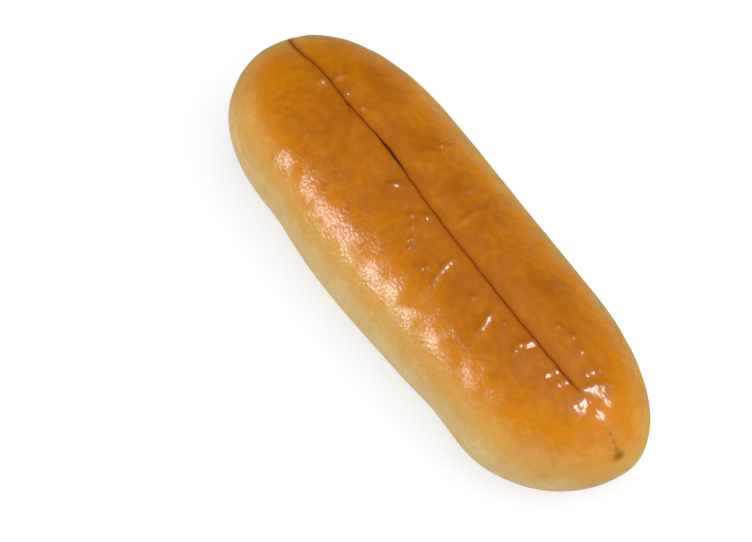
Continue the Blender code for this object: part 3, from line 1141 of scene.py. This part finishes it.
@dataclass
class Bun:
    """The whole bun as one closed piece.

    The base bands are shares of the base's brown, each with the heights between which it comes in.
    """

    loaf: Loaf
    cut: Cut
    relief: CrustRelief
    marks: CrustMarks
    finish: CrustFinish
    rows: int = 400
    side_columns: int = 112
    outline_steps: int = 4001
    turn_steps: int = 2001
    lip_density: float = 2.2
    lip_density_reach: float = 0.1
    thinning: float = 0.4
    thinning_turns: tuple[Span, ...] = ((0.9, 1.3), (1.6, 2.2))
    beyond_cut: float = 10.0
    base_roll: float = 1.2
    tip_margin: float = 0.0012
    crust_thickness: float = 1.3
    crumb_by: float = 3.0
    slit_shade_by: float = 0.4
    bridged_paling: float = 0.8
    base_bands: tuple[tuple[float, Span], ...] = ((0.65, (1.2, 0.1)), (0.35, (4.0, 0.2)))

    def stations(self) -> Array:
        """Places of the rows along X, spaced evenly along the outline seen from above."""
        half = self.loaf.length / 2
        fine = half * np.sin(np.linspace(-np.pi / 2, np.pi / 2, self.outline_steps))
        steps = np.hypot(np.diff(fine), np.diff(self.loaf.half_width(fine)))
        outline = np.concatenate(([0.0], np.cumsum(steps)))
        share = np.linspace(self.tip_margin, 1.0 - self.tip_margin, self.rows)
        return np.interp(share * outline[-1], outline, fine)[:, None]

    def column_turns(self) -> Array:
        """Turns of one side's columns from the cut, close together at the lip and wide under the base."""
        fine = np.linspace(0.0, np.pi, self.turn_steps)
        density = 1.0 + self.lip_density * np.exp(-fine / self.lip_density_reach)
        for turns in self.thinning_turns:
            density -= self.thinning * ease(fine, *turns)
        gathered = np.concatenate(([0.0], np.cumsum((density[1:] + density[:-1]) / 2)))
        share = np.linspace(0.0, 1.0, self.side_columns + 1)[:-1]
        return np.interp(share * gathered[-1], gathered, fine)[None, :]

    def raised_loaf(self, x: Array, turn: Array) -> Array:
        """The loaf with all its relief.

        Args:
            x: places of the rows.
            turn: turns round the girth from the cut, below zero on the pale side.

        Returns:
            Points of the loaf moved along its normals by the relief's height.
        """
        angle = turn + self.cut.angle(x) * np.cos(turn / 2) ** 2
        points = self.loaf.points(x, angle)
        away = np.abs(turn) * self.loaf.half_width_full + self.beyond_cut * (1.0 - self.cut.presence(x))
        height = self.relief.height(points, self.loaf, away)
        return points + self.loaf.normals(x, angle) * height[..., None]

    def set_on_base(self, points: Array) -> Array:
        """Flatten what lies below the base's level, with a soft roll up into the side."""
        z = points[..., 2]
        roll = (z + self.base_roll) ** 2 / (4 * self.base_roll)
        points[..., 2] = np.where(z > self.base_roll, z, np.where(z < -self.base_roll, 0.0, roll))
        return points

    def grid(self, x: Array) -> Array:
        """All points of the skin as rows by columns, the columns closing into a ring."""
        turns = self.column_turns()
        right = self.cut.part(self.raised_loaf(x, turns), x, Side.PROUD_LIP)
        left = self.cut.part(self.raised_loaf(x, -turns), x, Side.PALE_FLANK)
        middle = self.raised_loaf(x, np.array([[np.pi]]))
        uneven = SkinNoise(self.cut.ragged_seed).read(right[:, :1] * (1.0, 0.0, 0.0), self.cut.ragged_length)
        ragged = self.cut.raggedness * uneven * self.cut.presence(x)
        aside = ragged * np.exp(-np.abs(turns) * self.loaf.half_width_full)
        right[..., 1] += aside
        left[..., 1] += aside
        right_wall = self.cut.wall(x[:, 0], right[:, 0], Side.PROUD_LIP)
        left_wall = self.cut.wall(x[:, 0], left[:, 0], Side.PALE_FLANK)
        columns = (right_wall[:, ::-1], right, middle, left[:, ::-1], left_wall)
        return self.set_on_base(np.concatenate(columns, axis=1))

    def attributes(self, grid: Array, x: Array) -> dict[str, Array]:
        """Values that the finish reads at each point of the grid.

        Args:
            grid: points of the skin.
            x: places of the rows.

        Returns:
            Arrays by name: the baking level, darker brown with painted shade by the cut, stained spots with
                the pit's painted shade, shine, pebbling, film, the slit's crust and painted shade, crumb and
                base.
        """
        walls = len(self.cut.wall_steps)
        wall = np.zeros(grid.shape[1], bool)
        wall[:walls] = True
        wall[-walls:] = True
        lip = grid[:, walls : walls + 1]
        below_lip = np.where(wall, lip[..., 2] - grid[..., 2], 0.0) * self.cut.is_open(x)
        crumb = ease(below_lip, self.crust_thickness, self.crumb_by * self.crust_thickness)
        bridged = ease(x, self.cut.closed_from, self.cut.closed_by)
        along_cut = self.cut.presence(x) * (1.0 - bridged)
        # walls of the cut below the lip: partly their crust colour, partly painted shade of the slit
        slit_crust_and_shade = ease(below_lip, 0.0, self.slit_shade_by * self.crust_thickness)
        slit_crust_and_shade *= 1.0 - self.bridged_paling * bridged
        # painted shade of the slit on the crust along both lips
        edge = self.marks.edge(grid, lip) * along_cut
        raised = self.relief.raised_share(grid)
        pebbled = self.marks.pebbled(grid, lip)
        return {
            "browning": self.marks.browning(grid),
            "browner_and_painted_shade": self.marks.browner_and_painted_shade(grid, lip) * along_cut,
            "stain_and_pit_shade": self.marks.stain_and_pit_shade(grid, self.loaf),
            "shine": self.marks.shine(grid, self.relief, raised) * (1.0 - edge),
            "pebbled": pebbled,
            "film": np.maximum(pebbled, raised),
            "slit_crust_and_shade": np.maximum(slit_crust_and_shade, edge),
            "crumb": crumb,
            "base": sum(share * ease(grid[..., 2], *levels) for share, levels in self.base_bands),
        }

    def faces(self, x: Array, columns: int) -> tuple[Array, Array]:
        """Faces between neighbouring rows and columns, and the fans that close the tips.

        Args:
            x: places of the rows.
            columns: number of columns.

        Returns:
            The four-cornered faces and the three-cornered ones. Past the ends of the cut its columns are
            one, so there faces lose the corners that repeat.
        """
        rows = len(x)
        walls = len(self.cut.wall_steps)
        index = np.arange(rows * columns).reshape(rows, columns)
        shut = ~self.cut.is_open(x[:, 0])
        index[shut, :walls] = index[shut, walls, None]
        index[shut, columns - walls - 1 :] = index[shut, walls, None]
        following = np.roll(index, -1, axis=1)
        quads = np.stack((index[:-1], index[1:], following[1:], following[:-1]), axis=-1).reshape(-1, 4)
        far = np.full(columns, rows * columns)
        near = far + 1
        far_fan = np.stack((far, index[0], following[0]), axis=-1)
        near_fan = np.stack((near, following[-1], index[-1]), axis=-1)
        distinct = quads != np.roll(quads, 1, axis=1)
        whole = quads[distinct.all(axis=1)]
        cornered = distinct.sum(axis=1) == 3
        merged = quads[cornered][distinct[cornered]].reshape(-1, 3)
        fans = np.concatenate((far_fan, near_fan))
        fans = fans[fans[:, 1] != fans[:, 2]]
        return whole, np.concatenate((merged, fans))

    def build(self) -> bpy.types.Object:
        """Make the piece.

        Returns:
            The bun's object, dressed.
        """
        x = self.stations()
        grid = self.grid(x)
        values = self.attributes(grid, x)
        points = np.concatenate((grid.reshape(-1, 3), self.loaf.tips()))
        quads, triangles = self.faces(x, grid.shape[1])
        corners_used = np.concatenate((quads.ravel(), triangles.ravel()))
        used, renumbered = np.unique(corners_used, return_inverse=True)
        quads = renumbered[: quads.size].reshape(-1, 4)
        triangles = renumbered[quads.size :].reshape(-1, 3)

        lowest, highest = (np.array(corner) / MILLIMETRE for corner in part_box("bun"))
        points[:, :2] += ((lowest + highest) / 2 - (points.min(axis=0) + points.max(axis=0)) / 2)[:2]

        mesh = bpy.data.meshes.new("crust")
        mesh.from_pydata((points[used] * MILLIMETRE).tolist(), [], quads.tolist() + triangles.tolist())
        for name, value in values.items():
            flat = np.concatenate((value.reshape(-1), value[0, -1:], value[-1, -1:]))[used]
            mesh.attributes.new(name, "FLOAT", "POINT").data.foreach_set("value", flat.astype(np.float32))
        mesh.shade_smooth()
        piece = stand("crust", mesh)
        self.finish.dress(piece)
        return piece


@dataclass(frozen=True)
class Softbox:
    """A rectangular light that faces the bun; it may be only mirrored, or only light surfaces."""

    name: str
    azimuth: float
    elevation: float
    distance: float
    width: float
    height: float
    power: float
    mirrored: bool = True
    lights_surfaces: bool = True

    def build(self) -> bpy.types.Object:
        """Make the light and turn it to the bun."""
        data = bpy.data.lights.new(self.name, "AREA")
        data.shape = "RECTANGLE"
        data.size = self.width
        data.size_y = self.height
        data.energy = self.power
        light = stand(self.name, data)
        away = Vector(direction(self.azimuth, self.elevation))
        light.location = away * self.distance
        light.rotation_euler = away.to_track_quat("Z", "Y").to_euler()
        light.visible_glossy = self.mirrored
        light.visible_diffuse = self.lights_surfaces
        return light


def glowing(name: str, colour: Colour, roughness: float, glow: float) -> bpy.types.Material:
    """Make a plain material that also glows white.

    Args:
        name: the material's name.
        colour: its colour in the light.
        roughness: how matt it is.
        glow: the strength of its own light.

    Returns:
        The material.
    """
    bench = ShaderBench(bpy.data.materials.new(name))
    sockets = {"Base Color": colour, "Roughness": roughness}
    sockets.update({"Emission Color": WHITE, "Emission Strength": glow})
    bench.finish(bench.principled(sockets))
    return bench.owner


@dataclass(frozen=True)
class Studio:
    """The plain pale floor and backdrop, the lights and the air round them."""

    lights: tuple[Softbox, ...] = (
        Softbox("key", 120.0, 57.0, 1.0, 0.32, 0.32, 9.0, lights_surfaces=False),
        Softbox("window", 334.0, 18.0, 1.0, 0.3, 0.28, 4.8),
        Softbox("fill", 108.0, 64.0, 1.3, 2.6, 2.6, 53.0, mirrored=False),
    )
    floor_size: float = 8.0
    floor_colour: Colour = (0.33, 0.344, 0.367)
    floor_glow: float = 0.59
    floor_roughness: float = 0.9
    horizon: Colour = (0.2, 0.2, 0.2)
    overhead: Colour = (0.02, 0.02, 0.02)
    horizon_height: float = 0.25
    backdrop_radius: float = 3.9
    backdrop_glow: float = 0.93
    backdrop_columns: int = 64
    backdrop_rows: int = 17
    backdrop_top: float = 1.57

    def floor(self) -> bpy.types.Object:
        """Make the floor, level with the bun's base."""
        half = self.floor_size / 2
        mesh = bpy.data.meshes.new("floor")
        outline = [(-half, -half, 0.0), (half, -half, 0.0), (half, half, 0.0), (-half, half, 0.0)]
        mesh.from_pydata(outline, [], [(0, 1, 2, 3)])
        matt = glowing("pale floor", self.floor_colour, self.floor_roughness, self.floor_glow)
        mesh.materials.append(matt)
        floor = stand("floor", mesh)
        floor.visible_glossy = False
        return floor

    def backdrop(self) -> bpy.types.Object:
        """Make the pale dome that only the camera sees, where it looks past the floor.

        Returns:
            The dome, half a sphere: each point is the radius times (cos a cos e, sin a cos e, sin e).
        """
        around = np.linspace(0.0, 2 * np.pi, self.backdrop_columns + 1)[:-1]
        around, upward = np.meshgrid(around, np.linspace(0.0, self.backdrop_top, self.backdrop_rows))
        level = np.cos(upward)
        points = np.stack((np.cos(around) * level, np.sin(around) * level, np.sin(upward)), axis=-1)
        index = np.arange(points[..., 0].size).reshape(around.shape)
        following = np.roll(index, -1, axis=1)
        faces = np.stack((index[:-1], index[1:], following[1:], following[:-1]), axis=-1).reshape(-1, 4)
        mesh = bpy.data.meshes.new("backdrop")
        mesh.from_pydata((points * self.backdrop_radius).reshape(-1, 3).tolist(), [], faces.tolist())
        mesh.materials.append(glowing("pale backdrop", BLACK, 1.0, self.backdrop_glow))
        backdrop = stand("backdrop", mesh)
        for rays in ("visible_diffuse", "visible_glossy", "visible_transmission", "visible_shadow"):
            setattr(backdrop, rays, False)
        return backdrop

    def air(self) -> None:
        """Fill the world with light that is pale at the horizon and dim overhead."""
        bpy.context.scene.world = bpy.data.worlds.new("studio")
        bench = ShaderBench(bpy.context.scene.world)
        place = bench.node("ShaderNodeTexCoord", {}, {}, "Generated")
        height = bench.node("ShaderNodeSeparateXYZ", {}, {"Vector": place}, "Z")
        upward = bench.node("ShaderNodeMapRange", {}, {"Value": height, "From Max": self.horizon_height})
        colour = bench.mix(upward, self.horizon, self.overhead)
        light = bench.node("ShaderNodeBackground", {}, {"Color": colour})
        bench.node("ShaderNodeOutputWorld", {}, {"Surface": light}, None)

    def build(self) -> None:
        """Make the floor, the backdrop, the air and all lights, with colours shown as they are."""
        self.floor()
        self.backdrop()
        self.air()
        for light in self.lights:
            light.build()
        bpy.context.scene.view_settings.view_transform = "Standard"


@dataclass(frozen=True)
class PhotoCamera:
    """The camera at the photograph's angle, with the bun's middle where the photograph has it."""

    azimuth: float = 54.3
    elevation: float = 59.5
    distance: float = 0.65
    target_height: float = 0.016
    focal_pixels: float = 2544.0
    target_column: float = 437.0
    target_row: float = 261.0
    sensor: float = 36.0
    nearest: float = 0.01
    farthest: float = 100.0

    def build(self) -> bpy.types.Object:
        """Make the camera, aimed so that the target falls on its pixel, and make it the scene's."""
        back = direction(self.azimuth, self.elevation)
        turn = math.radians(self.azimuth)
        right = np.array([math.cos(turn), math.sin(turn), 0.0])
        up = np.cross(back, right)
        position = np.array([0.0, 0.0, self.target_height]) + back * self.distance
        sideways = (self.target_column - PHOTO_WIDTH / 2) / self.focal_pixels
        upward = (PHOTO_HEIGHT / 2 - self.target_row) / self.focal_pixels
        forward = -back - sideways * right - upward * up
        backward = -forward / np.linalg.norm(forward)
        across = np.cross(up, backward)
        across /= np.linalg.norm(across)
        overhead = np.cross(backward, across)
        data = bpy.data.cameras.new("camera")
        data.sensor_width = self.sensor
        data.lens = self.focal_pixels / PHOTO_WIDTH * self.sensor
        data.clip_start = self.nearest
        data.clip_end = self.farthest
        camera = stand("camera", data)
        turned = Matrix(np.stack((across, overhead, backward), axis=1).tolist()).to_4x4()
        camera.matrix_world = Matrix.Translation(position.tolist()) @ turned
        bpy.context.scene.camera = camera
        return camera


def main() -> None:
    """Build the camera, the studio and the bun."""
    logging.basicConfig(level=logging.INFO, format="%(name)s: %(message)s")
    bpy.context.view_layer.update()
    PhotoCamera().build()
    Studio().build()
    loaf = Loaf()
    bun = Bun(loaf, Cut(loaf), CrustRelief(), CrustMarks(), CrustFinish()).build()
    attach(bun, "root")
    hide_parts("bun")
    triangles = sum(len(face.vertices) - 2 for face in bun.data.polygons)
    log.info("crust: %d triangles", triangles)


if __name__ == "__main__":
    main()
